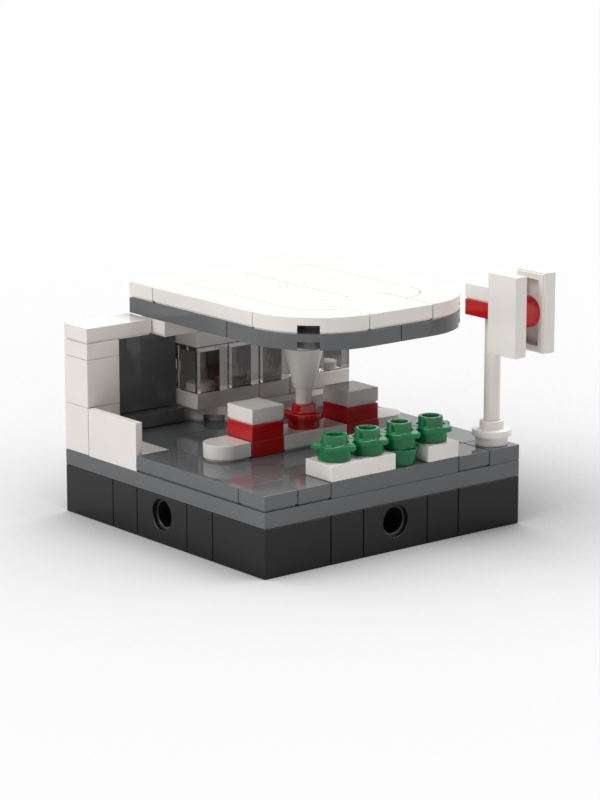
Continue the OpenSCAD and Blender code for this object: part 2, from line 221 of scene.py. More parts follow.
def cut(piece, tool, operation="DIFFERENCE"):
    apply_modifier(piece, "BOOLEAN", operation=operation, object=tool, solver="EXACT")
    bpy.data.objects.remove(tool)


# %% [markdown]
# ## Soft edges
#
# A mould never leaves a razor edge: the corners of these pieces are rounded by
# about a tenth of a millimetre, and that thin line catches the light all round each
# piece. A Bevel modifier that works by angle rounds every sharp edge at once. Then
# weighted normals keep the big faces flat while the narrow bevels shade smoothly.

# %% Edge and shading helpers
EDGE = 0.00013
SMOOTH_BELOW = math.radians(50)


def soften(piece, width=EDGE, segments=2):
    apply_modifier(piece, "BEVEL", width=width, segments=segments, limit_method="ANGLE",
                   angle_limit=SMOOTH_BELOW)


def shade(piece):
    make_active(piece)
    bpy.ops.object.shade_smooth_by_angle(angle=SMOOTH_BELOW)
    apply_modifier(piece, "WEIGHTED_NORMAL", keep_sharp=True)


# %% [markdown]
# ## Studs, tubes and ribs
#
# A stud is a short cylinder with a softly rounded top edge. Underneath, a tube
# stands between every four studs, and a thin rib between two where the piece is one
# cell wide. Each is modelled once and then repeated over the grid by arrays, which
# keeps the spacing exact.

# %% Make studs, tubes and ribs
STUD_SIDES = 48
STUD_EDGE = 0.0002
SINK = 0.00002


def add_cylinder(middle, radius, bottom, top, sides=STUD_SIDES):
    deselect_all()
    bpy.ops.mesh.primitive_cylinder_add(vertices=sides, radius=radius, depth=top - bottom,
                                        location=(middle.x, middle.y, (bottom + top) / 2))
    bpy.ops.object.transform_apply(location=True, rotation=True, scale=True)
    return bpy.context.object


def add_stud(middle, bottom):
    """A stud that stands on the height bottom."""
    top = bottom + STUD_H
    stud = add_cylinder(middle, STUD_R, bottom - SINK, top)
    edit(stud)
    pick_edges(lambda place, along: near(place.z, top))
    bpy.ops.mesh.bevel(offset=STUD_EDGE, segments=3, affect="EDGES")
    leave_edit()
    return stud


def add_tube(middle, outer, inner, bottom, top):
    tube = add_cylinder(middle, outer, bottom, top + SINK)
    edit(tube)
    pick_faces(lambda place, normal: normal.z < -0.9)
    bpy.ops.mesh.inset(thickness=outer - inner)
    bpy.ops.mesh.extrude_region_move(TRANSFORM_OT_translate={"value": (0, 0, top - bottom)})
    leave_edit()
    return tube


def over_grid(piece, columns, rows):
    repeat(piece, columns, (PITCH, 0, 0))
    repeat(piece, rows, (0, PITCH, 0))
    return piece


# %% [markdown]
# ## Bricks, plates and tiles
#
# Nearly every piece is a hollow block on the grid. The box is drawn at its size, its
# underside is inset by the wall's thickness and pushed up to leave the top skin. A
# tile has a small groove round its foot, so that it can be prised off: it is drawn
# as a narrower foot before the hollow is made. Corners that are round in plan are
# bevelled with the real radius first. A boolean could hollow the block too, but
# inset and extrude give clean faces that the bevel can follow.

# %% Make a hollow block
ROUND_STEPS = 28


def cells(low, high):
    """How many grid cells the block covers along X and along Y."""
    return round((high.x - low.x + 2 * INSET) / PITCH), round((high.y - low.y + 2 * INSET) / PITCH)


def block_shell(low, high, grooved=False, round_corners=(), hollow=True):
    foot = GROOVE_H if grooved else SEAM
    shell = add_box(Vector((low.x, low.y, low.z + foot)), high)
    edit(shell)
    for corner, radius in round_corners:
        pick_edges(lambda place, along: abs(along.z) > 0.9 and near(place.x, corner[0])
                   and near(place.y, corner[1]))
        bpy.ops.mesh.bevel(offset=radius - TINY, segments=ROUND_STEPS, affect="EDGES")
        bpy.ops.mesh.select_all(action="SELECT")
        bpy.ops.mesh.remove_doubles(threshold=2 * TINY)
    pick_faces(lambda place, normal: normal.z < -0.9)
    if grooved:
        bpy.ops.mesh.inset(thickness=GROOVE_IN)
        bpy.ops.mesh.extrude_region_move(TRANSFORM_OT_translate={"value": (0, 0, -foot)})
    if hollow:
        bpy.ops.mesh.inset(thickness=WALL - (GROOVE_IN if grooved else 0))
        depth = high.z - low.z - SKIN - (0 if grooved else SEAM)
        bpy.ops.mesh.extrude_region_move(TRANSFORM_OT_translate={"value": (0, 0, depth)})
    leave_edit()
    soften(shell)
    return shell


def grips(low, high):
    """The tubes or ribs under a block."""
    columns, rows = cells(low, high)
    first = Vector((low.x - INSET, low.y - INSET))
    top = high.z - SKIN
    if columns > 1 and rows > 1:
        tube = add_tube(first + Vector((PITCH, PITCH)), TUBE_R, GRIP_R, low.z, top)
        return [over_grid(tube, columns - 1, rows - 1)]
    if columns > 1:
        rib = add_cylinder(first + Vector((PITCH, PITCH / 2)), RIB_R, low.z, top + SINK, 32)
        return [over_grid(rib, columns - 1, 1)]
    if rows > 1:
        rib = add_cylinder(first + Vector((PITCH / 2, PITCH)), RIB_R, low.z, top + SINK, 32)
        return [over_grid(rib, 1, rows - 1)]
    return []


def stud_field(low, high):
    """One stud on every cell of the block."""
    columns, rows = cells(low, high)
    stud = add_stud(Vector((low.x - INSET + PITCH / 2, low.y - INSET + PITCH / 2)), high.z)
    return over_grid(stud, columns, rows)


# %% The four common kinds of piece
def under_studs(high):
    """The top corner of a studded piece's block."""
    return Vector((high.x, high.y, high.z - STUD_H))


def studded(low, high):
    top = under_studs(high)
    return join([block_shell(low, top), stud_field(low, top)] + grips(low, top))


def tile(low, high):
    return join([block_shell(low, high, grooved=True)] + grips(low, high))


def jumper(low, high):
    top = under_studs(high)
    middle = (low + high) / 2
    return join([block_shell(low, top, grooved=True), add_stud(middle, top.z)] + grips(low, top))


def clear_brick(low, high):
    """A see-through brick has to be one skin, so its stud is merged into its block."""
    top = under_studs(high)
    brick = block_shell(low, top)
    cut(brick, add_stud((low + high) / 2, top.z), operation="UNION")
    return brick


# %% [markdown]
# ## Turned pieces
#
# The round plates, the cone, its cap, the pole and the flowers' stems are turned
# shapes. Their half section is drawn point by point from a single vertex and spun
# once round the axis. A section that doesn't touch the axis ends on its first point
# again, so that merging doubles closes it.

# %% Spin a section
TURNED_SIDES = 64


def turn(section, foot, along=Vector((0, 0, 1)), out=Vector((1, 0, 0)), sides=TURNED_SIDES,
         angle=2 * math.pi):
    """Spins (radius, height) points round the line through foot in the direction along."""
    deselect_all()
    bpy.ops.mesh.primitive_plane_add(size=0.001, location=foot)
    bpy.ops.object.transform_apply(location=True, rotation=True, scale=True)
    turned = bpy.context.object
    edit(turned)
    bpy.ops.mesh.select_mode(type="VERT")
    bpy.ops.mesh.select_all(action="SELECT")
    bpy.ops.mesh.merge(type="CENTER")
    points = [out * radius + along * height for radius, height in section]
    bpy.ops.transform.translate(value=points[0])
    for start, end in zip(points, points[1:]):
        bpy.ops.mesh.extrude_vertices_move(TRANSFORM_OT_translate={"value": end - start})
    bpy.ops.mesh.select_all(action="SELECT")
    bpy.ops.mesh.spin(steps=sides, angle=angle, center=foot, axis=along)
    bpy.ops.mesh.select_all(action="SELECT")
    bpy.ops.mesh.remove_doubles(threshold=TINY / 10)
    if angle < 2 * math.pi:
        bpy.ops.mesh.fill_holes(sides=0)
        bpy.ops.mesh.select_all(action="SELECT")
    bpy.ops.mesh.normals_make_consistent(inside=False)
    leave_edit()
    return turned


def foot_of(low, high):
    return Vector(((low.x + high.x) / 2, (low.y + high.y) / 2, low.z))


# %% Round plate, cone, cap and pole
STEM_R = 0.0032
STEM_H = 0.0018
CONE_H = 0.008
CONE_FOOT_R = 0.002
BAR_R = 0.0016


def round_plate(low, high):
    rim = PITCH / 2 - INSET
    recess = PLATE - SKIN
    plate = turn([(GRIP_R, 0), (STEM_R, 0), (STEM_R, STEM_H), (rim, STEM_H), (rim, PLATE),
                  (STUD_R, PLATE), (STUD_R, PLATE + STUD_H), (BAR_BORE_R, PLATE + STUD_H),
                  (BAR_BORE_R, recess), (GRIP_R, recess), (GRIP_R, 0)], foot_of(low, high))
    soften(plate)
    return plate


def cone(low, high):
    top = high.z - low.z - STUD_H
    rim = PITCH / 2 - INSET
    piece = turn([(0, 0), (BAR_R, 0), (BAR_R, top - CONE_H), (CONE_FOOT_R, top - CONE_H),
                  (rim, top), (STUD_R, top), (STUD_R, top + STUD_H), (0, top + STUD_H)],
                 foot_of(low, high))
    soften(piece)
    return piece


def cone_cap(low, high):
    rim = PITCH / 2 - INSET
    recess = PLATE - SKIN
    cap = turn([(0, recess), (GRIP_R, recess), (GRIP_R, 0), (rim - GROOVE_IN, 0),
                (rim - GROOVE_IN, GROOVE_H), (rim, GROOVE_H), (rim, PLATE), (0, PLATE)],
               foot_of(low, high))
    soften(cap)
    return cap


def pole(low, high):
    length = high.z - low.z
    rod = turn([(0, 0), (BAR_R, 0), (BAR_R, length), (0, length)], foot_of(low, high), sides=48)
    soften(rod)
    return rod


# %% [markdown]
# ## Flower plates
#
# Four green flowers fill the planter, and a fifth sits lower between two plates. A
# flower is a round plate whose rim swells into five round petals, and its open stud
# shows a dark hole. The petals could be five small discs, but the real rim is one
# wavy line, so a disc's corners are moved in and out by a cosine instead.

# %% Make a flower
FLOWER_STEM_H = 0.0022
PETAL_COUNT = 5
PETAL_SIDES = 160
PETAL_STEP = 0.00012
PETAL_EDGE = 0.0002
CREASE_R = STEM_R + 0.00015


def flower_middle(low, high):
    """The axis of the flower: that of the nearest open stud in the planter's row."""
    row = [Vector(MOUNTS["flower_%d_stud" % number]["pos_m"]) for number in (1, 2, 3, 4)]
    middle = (low + high) / 2
    return min(row, key=lambda place: abs(place.x - middle.x))


def wavy_disc(middle, reach, first_petal, bottom, top):
    """A disc whose rim runs between CREASE_R and reach, once for each petal."""
    disc = add_cylinder(middle, CREASE_R, bottom, top, PETAL_SIDES)
    for corner in disc.data.vertices:
        out = corner.co.xy - middle.xy
        angle = math.atan2(out.y, out.x) - first_petal
        swell = (1 + math.cos(PETAL_COUNT * angle)) / 2
        corner.co.xy = middle.xy + out.normalized() * (CREASE_R + (reach - CREASE_R) * swell)
    soften(disc, width=PETAL_EDGE, segments=3)
    return disc


def flower(low, high, first_petal=0.0):
    middle = flower_middle(low, high)
    foot = Vector((middle.x, middle.y, low.z))
    recess = PLATE - SKIN
    disc = PLATE - PETAL_STEP
    stem = turn([(GRIP_R, 0), (STEM_R, 0), (STEM_R, disc), (STUD_R, disc),
                 (STUD_R, PLATE + STUD_H), (BAR_BORE_R, PLATE + STUD_H), (BAR_BORE_R, recess),
                 (GRIP_R, recess), (GRIP_R, 0)], foot)
    soften(stem)
    reach = middle.y - low.y if first_petal else high.x - middle.x
    petals = wavy_disc(middle, reach, first_petal, low.z + FLOWER_STEM_H, low.z + PLATE)
    inside_stem = (GRIP_R + STEM_R) / 2
    cut(petals, add_cylinder(middle, inside_stem, low.z, low.z + PLATE + STUD_H))
    return join([stem, petals])


def low_flower(low, high):
    return flower(low, high, first_petal=-math.pi / 2)


# %% [markdown]
# ## Bricks with a pin hole
#
# In the middle of each side of the base, a brick has a round hole for a connecting
# pin, with a wider shallow rim at both mouths. The brick is drawn as a plain block
# and the holes are cut by booleans, because their edges cross flat faces. The cutter
# is a turned shape, so one cut gives the rim, the hole and its small chamfers.

# %% Make a pin brick
PIN_RIM_R = 0.0031
PIN_RIM_DEPTH = 0.0009
PIN_LIP = 0.0002
PIN_BOSS_WALL = 0.0006
PIN_BOSS_R = PIN_RIM_R + PIN_BOSS_WALL
STUD_ROOM = STUD_H + 0.0003
CUT_SPARE = 0.001


def pin_cutter(middle, along, half):
    """A turned cutter for a hole through a brick that is 2 * half thick."""
    out = Vector((0, 0, 1))
    start = -half - CUT_SPARE
    section = [(0, start), (PIN_RIM_R + EDGE, start), (PIN_RIM_R + EDGE, -half),
               (PIN_RIM_R, EDGE - half), (PIN_RIM_R, PIN_RIM_DEPTH - half),
               (PIN_R + PIN_LIP, PIN_RIM_DEPTH - half), (PIN_R, PIN_RIM_DEPTH + PIN_LIP - half)]
    section += [(radius, -height) for radius, height in reversed(section)]
    return turn(section, middle, along=along, out=out)


def pin_brick(low, high):
    top = under_studs(high)
    brick = block_shell(low, top, hollow=False)
    lengthwise = high.x - low.x > high.y - low.y
    along = Vector((0, 1, 0)) if lengthwise else Vector((1, 0, 0))
    middle = (low + high) / 2
    hole = Vector((middle.x, middle.y, MOUNTS["pin_hole_front"]["pos_m"][2]))
    inner_low = low + Vector((WALL, WALL, -CUT_SPARE))
    inner_high = Vector((high.x - WALL, high.y - WALL, low.z + STUD_ROOM))
    cut(brick, add_box(inner_low, inner_high))
    for side in (-1, 1):
        pocket_low = Vector((inner_low.x, inner_low.y, inner_high.z - TINY))
        pocket_high = Vector((inner_high.x, inner_high.y, top.z - SKIN))
        if lengthwise and side < 0:
            pocket_high.x = middle.x - PIN_BOSS_R
        elif lengthwise:
            pocket_low.x = middle.x + PIN_BOSS_R
        elif side < 0:
            pocket_high.y = middle.y - PIN_BOSS_R
        else:
            pocket_low.y = middle.y + PIN_BOSS_R
        cut(brick, add_box(pocket_low, pocket_high))
    cut(brick, pin_cutter(hole, along, PITCH / 2 - INSET))
    return join([brick, stud_field(low, top)])


# %% [markdown]
# ## Low panel and bracket
#
# Two pieces carry an upright wall on one edge of a plate. A wall laid on the plate
# as a second box would show a seam down the outside, so the plate's top face is
# split with bisect and the strip is extruded upwards: the outside stays one face.

# %% Make the pieces with a wall
PANEL_T = 0.0015
BRACKET_T = 0.0018


def walled_block(low, high, split_at, split_normal, grooved):
    """A plate whose strip beyond split_at rises to the full height."""
    foot = GROOVE_H if grooved else 0
    plate_top = low.z + PLATE
    shell = add_box(Vector((low.x, low.y, low.z + foot)), Vector((high.x, high.y, plate_top)))
    edit(shell)
    bpy.ops.mesh.select_all(action="SELECT")
    bpy.ops.mesh.bisect(plane_co=split_at, plane_no=split_normal)
    pick_faces(lambda place, normal: normal.z > 0.9 and (place - split_at).dot(split_normal) > 0)
    bpy.ops.mesh.extrude_region_move(TRANSFORM_OT_translate={"value": (0, 0, high.z - plate_top)})
    pick_faces(lambda place, normal: normal.z < -0.9)
    if grooved:
        bpy.ops.mesh.inset(thickness=GROOVE_IN)
        bpy.ops.mesh.extrude_region_move(TRANSFORM_OT_translate={"value": (0, 0, -foot)})
    bpy.ops.mesh.inset(thickness=WALL - (GROOVE_IN if grooved else 0))
    bpy.ops.mesh.extrude_region_move(TRANSFORM_OT_translate={"value": (0, 0, PLATE - SKIN)})
    leave_edit()
    soften(shell)
    return shell


def low_panel(low, high):
    split = Vector((low.x + PANEL_T, 0, 0))
    shell = walled_block(low, high, split, Vector((-1, 0, 0)), grooved=False)
    return join([shell] + grips(low, Vector((high.x, high.y, low.z + PLATE))))


def side_stud(middle, along):
    edge = STUD_EDGE
    return turn([(0, -SINK), (STUD_R, -SINK), (STUD_R, STUD_H - edge),
                 (STUD_R - edge / 3, STUD_H - edge / 3), (STUD_R - edge, STUD_H), (0, STUD_H)],
                middle, along=along, sides=STUD_SIDES)


def bracket(low, high):
    back = high.y - BRACKET_T
    shell = walled_block(low, high, Vector((0, back, 0)), Vector((0, 1, 0)), grooved=True)
    parts = [shell] + grips(low, Vector((high.x, high.y, low.z + PLATE)))
    wall_middle = (low.z + PLATE + high.z) / 2
    for across in (-0.5, 0.5):
        for up in (-0.5, 0.5):
            place = Vector(((low.x + high.x) / 2 + across * PITCH, back, wall_middle + up * PITCH))
            parts.append(side_stud(place, Vector((0, -1, 0))))
    return join(parts)


# %% [markdown]
# ## Pieces laid on their side
#
# The dark wall and the two boards of the sign are ordinary tiles that stand upright.
# They are made lying flat at the origin, where the block helper works, then turned
# and moved, and the transform is applied so that their place is in their mesh.

# %% Make the upright tiles
def upright_tile(length, width, thickness, turned, place):
    flat = tile(Vector((-length / 2, -width / 2, 0)), Vector((length / 2, width / 2, thickness)))
    flat.rotation_euler = turned
    flat.location = place
    make_active(flat)
    bpy.ops.object.transform_apply(location=True, rotation=True, scale=True)
    return flat


def wall_tile(low, high):
    middle = (low + high) / 2
    return upright_tile(high.x - low.x, high.z - low.z, high.y - low.y, (math.pi / 2, 0, 0),
                        Vector((middle.x, high.y, middle.z)))


def sign_board(low, high):
    """A board whose underside is towards the ring."""
    middle = (low + high) / 2
    right = middle.x > box_middle("sign_sleeve").x
    return upright_tile(high.z - low.z, high.y - low.y, high.x - low.x,
                        (0, math.pi / 2 if right else -math.pi / 2, 0),
                        Vector((low.x if right else high.x, middle.y, middle.z)))


# %% [markdown]
# ## The sign's ring
#
# The boards hang on a red plate with a ring on its edge. The ring is a turned piece
# on a sideways axis, the web that holds it is a small box that ends inside the
# ring's wall, and a hollow sleeve through the ring is what the boards clutch.

# %% Make the ringed plate and its sleeve
RING_R = 0.00315
RING_W = 0.004
WEB_H = 0.002
SLEEVE_PLAY = 0.00005
SLEEVE_BORE_R = RIB_R + SLEEVE_PLAY
SIDEWAYS = Vector((1, 0, 0))
UPWARDS = Vector((0, 0, 1))


def ring_plate(low, high):
    middle_x = (low.x + high.x) / 2
    top = high.z - STUD_H
    plate_low = Vector((low.x, high.y - (high.x - low.x), top - PLATE))
    plate = block_shell(plate_low, Vector((high.x, high.y, top)), hollow=False)
    stud = add_stud(Vector((middle_x, (plate_low.y + high.y) / 2)), top)
    hub = Vector((middle_x, low.y + RING_R, low.z + RING_R))
    ring = turn([(GRIP_R, -RING_W / 2), (RING_R, -RING_W / 2), (RING_R, RING_W / 2),
                 (GRIP_R, RING_W / 2), (GRIP_R, -RING_W / 2)], hub, along=SIDEWAYS, out=UPWARDS)
    soften(ring)
    web_start = hub.y + (GRIP_R + RING_R) / 2
    web = add_box(Vector((middle_x - RING_W / 2, web_start, hub.z - WEB_H / 2)),
                  Vector((middle_x + RING_W / 2, plate_low.y + EDGE * 2, hub.z + WEB_H / 2)))
    soften(web)
    return join([plate, stud, ring, web])


def sleeve(low, high):
    middle = (low + high) / 2
    half = (high.x - low.x) / 2
    piece = turn([(SLEEVE_BORE_R, -half), (STUD_R, -half), (STUD_R, half), (SLEEVE_BORE_R, half),
                  (SLEEVE_BORE_R, -half)], middle, along=SIDEWAYS, out=UPWARDS)
    soften(piece)
    return piece


# %% [markdown]
# ## Rounded pieces of the canopy and the floor
#
# The canopy's two front corners are quarter circles two cells wide. Each is a round
# cornered plate with a curved tile and a quarter disc tile on top. The plate and the
# disc are blocks with one bevelled corner. The curved tile is a tile's section spun
# through a quarter turn. A notch in the rims makes room for a stud below. It cuts only
# the rim, because in the photograph a whole tube stands behind it. The photograph also
# shows no stud in front of the wall's rounded corner, so its plate leaves one out.

# %% Make the rounded pieces
NOTCH_W = 0.0056
WALL_NOTCH_W = 0.0044
WALL_NOTCH_H = 0.0015


def is_left(low, high):
    return (low.x + high.x) / 2 < box_middle("roof_rear_plate").x


def front_corner(low, high):
    return (low.x if is_left(low, high) else high.x, low.y)


def notch_cutter(low, high, width=NOTCH_W, height=STUD_H):
    """A box across the rim, on the diagonal of a rounded corner two cells wide."""
    side = -1 if is_left(low, high) else 1
    corner_x, corner_y = front_corner(low, high)
    centre = Vector((corner_x - side * (2 * PITCH - INSET), corner_y + 2 * PITCH - INSET))
    out = Vector((side, -1)).normalized()
    reach = 2 * PITCH - INSET - WALL / 2
    place = centre + out * reach
    depth = 3 * WALL
    deselect_all()
    bpy.ops.mesh.primitive_cube_add(
        size=1, location=(place.x, place.y, low.z), rotation=(0, 0, math.pi / 4),
        scale=(width, depth, 2 * height) if side < 0 else (depth, width, 2 * height))
    bpy.ops.object.transform_apply(location=True, rotation=True, scale=True)
    return bpy.context.object


def studs_but_one(low, top, left):
    """A stud on every cell but the left or the right front one."""
    columns, rows = cells(low, top)
    first = Vector((low.x - INSET + PITCH / 2, low.y - INSET + PITCH / 2))
    rear = over_grid(add_stud(first + Vector((0, PITCH)), top.z), columns, rows - 1)
    start = first + Vector((PITCH if left else 0, 0))
    return [rear, over_grid(add_stud(start, top.z), columns - 1, 1)]


def roof_corner_plate(low, high):
    top = under_studs(high)
    shell = block_shell(low, top, round_corners=[(front_corner(low, high), 2 * PITCH - INSET)])
    cut(shell, notch_cutter(low, high))
    return join([shell] + studs_but_one(low, top, is_left(low, high)) + grips(low, top))


def wall_foot_plate(low, high):
    """The plate under the rounded corner of the wall, smooth in front of that corner."""
    top = under_studs(high)
    return join([block_shell(low, top)] + studs_but_one(low, top, True) + grips(low, top))


def round_corner_tile(low, high):
    """A tile whose left front corner, or right front one on the right, is a quarter circle."""
    return block_shell(low, high, grooved=True,
                       round_corners=[(front_corner(low, high), high.x - low.x)])


def wall_corner(low, high):
    shell = block_shell(low, high, grooved=True, round_corners=[((low.x, low.y), high.x - low.x)])
    cut(shell, notch_cutter(low, high, WALL_NOTCH_W, WALL_NOTCH_H))
    return join([shell] + grips(low, high))


def island_end(low, high):
    end = low.x if (low.x + high.x) / 2 < box_middle("island_jumper").x else high.x
    radius = (high.y - low.y) / 2
    return block_shell(low, high, grooved=True,
                       round_corners=[((end, low.y), radius), ((end, high.y), radius)])


def curved_tile(low, high):
    side = -1 if is_left(low, high) else 1
    corner_x, corner_y = front_corner(low, high)
    centre = Vector((corner_x - side * (2 * PITCH - INSET), corner_y + 2 * PITCH - INSET, low.z))
    inner = PITCH + INSET
    outer = 2 * PITCH - INSET
    section = [(inner + GROOVE_IN, 0), (outer - GROOVE_IN, 0), (outer - GROOVE_IN, GROOVE_H),
               (outer, GROOVE_H), (outer, PLATE), (inner, PLATE), (inner, GROOVE_H),
               (inner + GROOVE_IN, GROOVE_H), (inner + GROOVE_IN, 0)]
    shorten = INSET / (1.5 * PITCH)
    out = Vector((side * math.cos(shorten), -math.sin(shorten), 0))
    piece = turn(section, centre, out=out, sides=2 * ROUND_STEPS,
                 angle=side * (math.pi / 2 - 2 * shorten))
    edit(piece)
    pick_faces(lambda place, normal: normal.z < -0.9 and near(place.z, low.z))
    bpy.ops.mesh.inset(thickness=WALL - GROOVE_IN)
    bpy.ops.mesh.extrude_region_move(TRANSFORM_OT_translate={"value": (0, 0, PLATE - SKIN)})
    bpy.ops.mesh.select_all(action="SELECT")
    bpy.ops.mesh.normals_make_consistent(inside=False)
    leave_edit()
    cut(piece, notch_cutter(low, high))
    soften(piece)
    return piece


# %% [markdown]
# ## Shader maths as Python
#
# A material's pattern is arithmetic on noise. Wiring Math nodes by hand hides the
# formula, so a small class wraps a socket and lets ordinary operators add the nodes.
# Every other node comes from one method, which takes its type, its settings and the
# values or links of its sockets.

# %% Sockets that add up
class Wire:
    """An output socket that takes part in Python arithmetic."""

    def __init__(self, nodes, socket):
        self.nodes = nodes
        self.socket = socket

    def maths(self, operation, first, second):
        return self.nodes.add("ShaderNodeMath", {"operation": operation}, {0: first, 1: second})

    def __add__(self, other):
        return self.maths("ADD", self, other)

    def __radd__(self, other):
        return self.maths("ADD", other, self)

    def __sub__(self, other):
        return self.maths("SUBTRACT", self, other)

    def __rsub__(self, other):
        return self.maths("SUBTRACT", other, self)

    def __mul__(self, other):
        return self.maths("MULTIPLY", self, other)

    def __rmul__(self, other):
        return self.maths("MULTIPLY", other, self)

    def __pow__(self, other):
        return self.maths("POWER", self, other)


class Nodes:
    """The node tree of a material or of the world."""

    def __init__(self, owner):
        owner.use_nodes = True
        self.tree = owner.node_tree
        self.tree.nodes.clear()

    def add(self, kind, settings=None, sockets=None, output=0):
        node = self.tree.nodes.new(kind)
        for name, value in (settings or {}).items():
            setattr(node, name, value)
        for name, value in (sockets or {}).items():
            if isinstance(value, Wire):
                self.tree.links.new(value.socket, node.inputs[name])
            else:
                node.inputs[name].default_value = value
        return Wire(self, node.outputs[output]) if node.outputs else node


# %% [markdown]
# ## Moulded plastic
#
# New pieces of this kind are glossy but not perfect: the mould leaves a faint wave in
# the flat faces, handling leaves a fine haze, and the colour is even with a breath of
# cloudiness. A flat colour with one roughness would look like a drawing. So a broad
# noise moves the tone by a few percent, a finer one the roughness, and a bump of a
# few hundredths of a millimetre bends the reflections.

# %% Plastic finish
CLOUD_SCALE = 90.0
RUB_SCALE = 1400.0
SAG_SCALE = 260.0
CLOUD_HAZE = 0.03
RUB_HAZE = 0.02
RUB_DEPTH = 0.04
WAVE_DEPTH = 0.00006


def plastic(name, colour, haze=0.05, tone=0.05, wave=0.12, **constants):
    material = bpy.data.materials.new(name)
    nodes = Nodes(material)
    place = nodes.add("ShaderNodeTexCoord", output="Object")
    cloud, rub, sag = (
        nodes.add("ShaderNodeTexNoise", sockets={
            "Vector": place, "Scale": scale, "Detail": detail})
        for scale, detail in ((CLOUD_SCALE, 3.0), (RUB_SCALE, 2.0), (SAG_SCALE, 1.0)))
    deeper = [channel * (1 - tone) for channel in colour] + [1.0]
    lighter = [min(1.0, channel * (1 + tone / 2)) for channel in colour] + [1.0]
    paint = nodes.add("ShaderNodeMix", {"data_type": "RGBA"},
                      {"Factor": cloud, "A": deeper, "B": lighter}, output="Result")
    roughness = haze + (cloud * CLOUD_HAZE + rub * RUB_HAZE - RUB_HAZE)
    bump = nodes.add("ShaderNodeBump", sockets={"Height": sag + rub * RUB_DEPTH, "Strength": wave,
                                                "Distance": WAVE_DEPTH})
    sockets = {"Base Color": paint, "Roughness": roughness, "Normal": bump, "IOR": 1.53,
               "Specular IOR Level": 0.4}
    sockets.update(constants)
    surface = nodes.add("ShaderNodeBsdfPrincipled", sockets=sockets)
    nodes.add("ShaderNodeOutputMaterial", sockets={"Surface": surface})
    return material


# %% Clear plastic
FLOW_SCALE = 320.0
CLEAR_HAZE = 0.02
FLOW_HAZE = 0.03
SHADOW_KEEPS = 0.8


def clear_plastic(name, tint):
    """See-through plastic, whose shadow is mostly light."""
    material = bpy.data.materials.new(name)
    nodes = Nodes(material)
    place = nodes.add("ShaderNodeTexCoord", output="Object")
    flow = nodes.add("ShaderNodeTexNoise", sockets={
        "Vector": place, "Scale": FLOW_SCALE, "Detail": 1.0})
    bump = nodes.add("ShaderNodeBump", sockets={
        "Height": flow, "Strength": 0.3, "Distance": WAVE_DEPTH})
    roughness = CLEAR_HAZE + flow * FLOW_HAZE
    glassy = nodes.add("ShaderNodeBsdfPrincipled", sockets={
        "Base Color": tint, "Roughness": roughness, "Normal": bump, "IOR": 1.58,
        "Transmission Weight": 1.0})
    shadow = nodes.add("ShaderNodeLightPath", output="Is Shadow Ray")
    through = nodes.add("ShaderNodeBsdfTransparent", sockets={
        "Color": (SHADOW_KEEPS, SHADOW_KEEPS, SHADOW_KEEPS, 1)})
    surface = nodes.add("ShaderNodeMixShader", sockets={0: shadow, 1: glassy, 2: through})
    nodes.add("ShaderNodeOutputMaterial", sockets={"Surface": surface})
    return material


# %% One finish for each slot of the record
FINISHES = {
    "white_plastic": plastic("warm_white_plastic", (0.828, 0.787, 0.750)),
    "grey_plastic": plastic("bluish_grey_plastic", (0.119, 0.124, 0.129)),
    "black_plastic": plastic("deep_black_plastic", (0.006, 0.006, 0.006)),
    "red_plastic": plastic("signal_red_plastic", (0.48, 0.004, 0.004)),
    "green_plastic": plastic("leaf_green_plastic", (0.003, 0.160, 0.051)),
    "clear_plastic": clear_plastic("see_through_plastic", (0.90, 0.87, 0.86, 1)),
}
print("finishes:", ", ".join(material.name for material in FINISHES.values()))

# %% [markdown]
# ## Put every piece in its place
#
# A node of the frame may hold several equal pieces that lie apart. Its mesh is
# copied, its doubles are merged, and the connected parts are measured one by one, so
# every real piece gets an object of its own. The object rides on the node's body and
# stands for the node, whose plain mesh is then hidden.

# %% Read the separate solids of a node
def solids(node):
    """The lowest and highest corner of each separate solid, from left to right."""
    work = bmesh.new()
    work.from_mesh(frame["nodes"][node].data)
    bmesh.ops.remove_doubles(work, verts=work.verts, dist=TINY / 10)
    work.verts.ensure_lookup_table()
    seen = set()
    found = []
    for start in work.verts:
        if start.index in seen:
            continue
        island = [start]
        seen.add(start.index)
        for corner in island:
            for edge in corner.link_edges:
                other = edge.other_vert(corner)
                if other.index not in seen:
                    seen.add(other.index)
                    island.append(other)
        found.append([Vector([pick(corner.co[axis] for corner in island) for axis in range(3)])
                      for pick in (min, max)])
    work.free()
    return sorted(found, key=lambda corners: [round(value, 5) for value in corners[0]])


# %% Make, name and place the pieces of a node
BODY_OF = {}
for body, members in frame["record"]["behaviour"]["bodies"].items():
    for member in members:
        BODY_OF[member] = body
SLOT_OF = {part["node"]: part["material_slot"] for part in frame["record"]["subparts"]}
made_pieces = []


def mould(maker, *nodes):
    """Makes one piece for each solid of the nodes and puts it on the node's body."""
    for node in nodes:
        found = solids(node)
        for number, (low, high) in enumerate(found, 1):
            piece = maker(low, high)
            shade(piece)
            piece.name = "moulded_" + node + ("_%d" % number if len(found) > 1 else "")
            piece.data.name = piece.name
            piece.data.materials.clear()
            piece.data.materials.append(FINISHES[SLOT_OF[node]])
            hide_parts(node)
            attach(piece, BODY_OF[node])
            made_pieces.append(piece)


def count_faces():
    return sum(len(piece.data.polygons) for piece in made_pieces)


# %% The base
mould(studded, "base_corner_bricks", "base_single_bricks", "base_plate")
mould(pin_brick, "base_pin_bricks")
print("base:", len(made_pieces), "pieces,", count_faces(), "faces")

